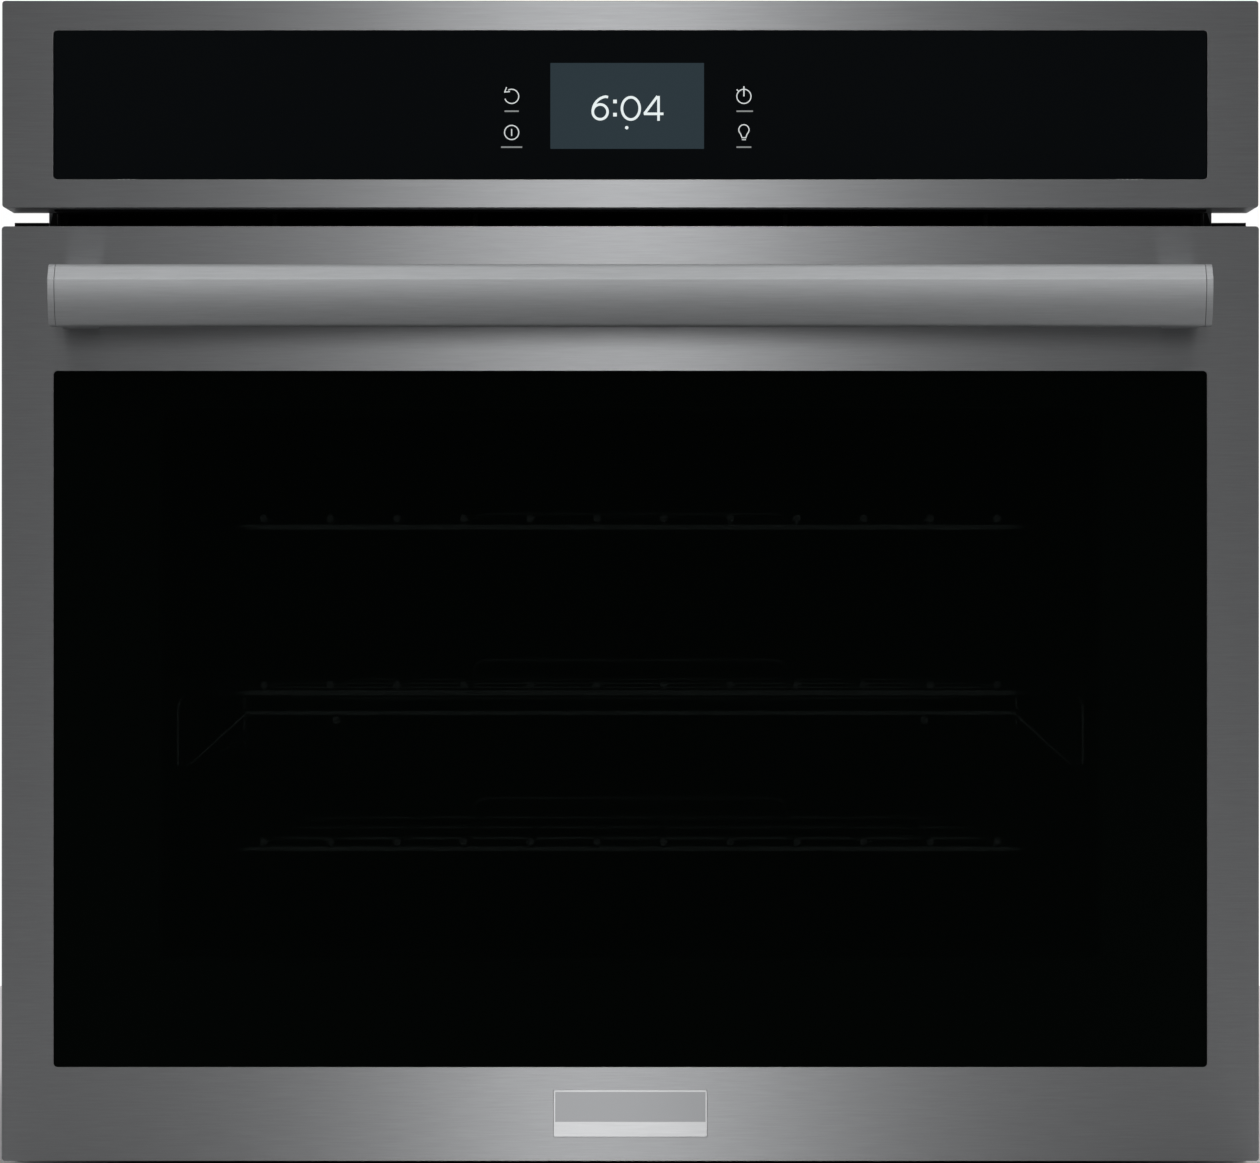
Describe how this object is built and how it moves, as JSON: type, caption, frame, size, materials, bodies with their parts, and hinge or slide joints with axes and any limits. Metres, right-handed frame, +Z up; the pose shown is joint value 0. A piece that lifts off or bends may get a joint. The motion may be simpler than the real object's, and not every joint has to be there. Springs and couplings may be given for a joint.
{
  "type": "wall oven",
  "caption": "Built-in single electric wall oven with a drop-down glass door, bar handle, touch control panel, slide-out wire racks and a convection fan.",
  "frame": {"origin": "bottom centre of the overall box, handle and screw heads included", "axes": "+X to the right seen from the front, +Y towards the back of the cabinet, +Z up"},
  "size_m": [0.762, 0.6867, 0.7085],
  "materials": {
    "black_steel": "brushed steel with a dark smoked coating",
    "handle_steel": "brushed, darkened",
    "enamel": "porcelain enamel with fine flecks, glossy",
    "galvanised": "galvanised sheet with a faint spangle",
    "chrome_wire": "nickel-chrome plated wire",
    "black_glass": "polished tempered glass, black",
    "door_glass": "polished tempered glass, dark tint with a black border",
    "clear_glass": "polished",
    "display": "display behind glass",
    "black_plastic": "moulded",
    "white_plastic": "moulded",
    "ceramic": "unglazed steatite",
    "board": "circuit board laminate",
    "wool": "glass wool blanket",
    "gasket": "woven glass-fibre rope",
    "element": "oxidised heater sheath",
    "steel": "plated steel",
    "spring_steel": "oiled spring steel",
    "motor": "motor lamination and can",
    "badge": "satin, blank"
  },
  "bodies": {
    "oven": {"base_pan": "galvanised", "side_panels": "galvanised", "back_panel": "galvanised", "top_panel": "galvanised", "front_frame": "enamel", "mounting_trims": "black_plastic", "cavity_sides": "enamel", "cavity_top": "enamel", "cavity_bottom": "enamel", "cavity_back": "enamel", "door_gasket": "gasket", "insulation_wrap": "wool", "bake_element": "element", "broil_element": "element", "convection_element": "element", "fan_cover": "enamel", "convection_motor": "motor", "temperature_sensor": "steel", "lamp_lenses": "clear_glass", "lamp_bulbs": "clear_glass", "lamp_sockets": "ceramic", "control_panel_frame": "black_steel", "control_glass": "black_glass", "display_module": "display", "touch_board": "board", "control_housing": "black_plastic", "relay_board": "board", "blower_housing": "galvanised", "blower_motor": "motor", "air_duct": "galvanised", "vent_grille": "black_plastic", "latch_motor": "motor", "door_switch": "black_plastic", "terminal_block": "ceramic", "conduit_gland": "black_plastic", "hinge_receivers": "galvanised", "hinge_arms": "steel", "body_screws": "steel"},
    "door": {"door_skin": "black_steel", "door_glass_outer": "door_glass", "door_glass_middle": "clear_glass", "door_glass_inner": "clear_glass", "glass_pack_frame": "galvanised", "door_liner": "enamel", "door_insulation": "wool", "hinge_channels": "galvanised", "hinge_pins": "steel", "handle_bar": "handle_steel", "handle_end_caps": "handle_steel", "door_screws": "steel", "badge_plate": "badge"},
    "hinge_rods": {"hinge_rods": "steel", "hinge_springs": "spring_steel"},
    "rack_top": {"rack_top": "chrome_wire"},
    "rack_middle": {"rack_middle": "chrome_wire"},
    "rack_bottom": {"rack_bottom": "chrome_wire"},
    "convection_fan": {"convection_fan": "steel"},
    "blower_wheel": {"blower_wheel": "motor"},
    "latch_hook": {"latch_hook": "steel"},
    "switch_plunger": {"switch_plunger": "white_plastic"}
  },
  "joints": [
    {"name": "door_hinge", "type": "hinge", "parent": "oven", "child": "door", "pos_m": [0, -0.2695, 0.029], "axis": [1, 0, 0], "range_deg": [0, 90], "stiffness_Nm_per_rad": 22, "springref_deg": -31.51},
    {"name": "rack_top_slide", "type": "slide", "parent": "oven", "child": "rack_top", "axis": [0, -1, 0], "range_m": [0, 0.25133]},
    {"name": "rack_middle_slide", "type": "slide", "parent": "oven", "child": "rack_middle", "axis": [0, -1, 0], "range_m": [0, 0.25133]},
    {"name": "rack_bottom_slide", "type": "slide", "parent": "oven", "child": "rack_bottom", "axis": [0, -1, 0], "range_m": [0, 0.25133]},
    {"name": "spring_rods_slide", "type": "slide", "parent": "door", "child": "hinge_rods", "axis": [0, 0, -1], "range_m": [0, 0.0126], "deforming": ["hinge_springs"]},
    {"name": "convection_fan_spin", "type": "hinge", "parent": "oven", "child": "convection_fan", "pos_m": [0, 0.2585, 0.305], "axis": [0, 1, 0], "continuous": true},
    {"name": "cooling_blower_spin", "type": "hinge", "parent": "oven", "child": "blower_wheel", "pos_m": [0, 0.0585, 0.625], "axis": [1, 0, 0], "continuous": true},
    {"name": "door_latch_turn", "type": "hinge", "parent": "oven", "child": "latch_hook", "pos_m": [-0.02, -0.2075, 0.556], "axis": [0, 0, 1], "range_deg": [0, 8]},
    {"name": "door_switch_press", "type": "slide", "parent": "oven", "child": "switch_plunger", "axis": [0, -1, 0], "range_m": [0, 0.003]}
  ],
  "couplings": [
    {"joint": "rack_top_slide", "follows": "door_hinge", "m_per_rad": 0.16},
    {"joint": "rack_middle_slide", "follows": "door_hinge", "m_per_rad": 0.16},
    {"joint": "rack_bottom_slide", "follows": "door_hinge", "m_per_rad": 0.16},
    {"joint": "spring_rods_slide", "follows": "door_hinge", "m_per_rad": 0.008},
    {"joint": "door_switch_press", "follows": "door_hinge", "m_per_rad": 0.0019}
  ]
}
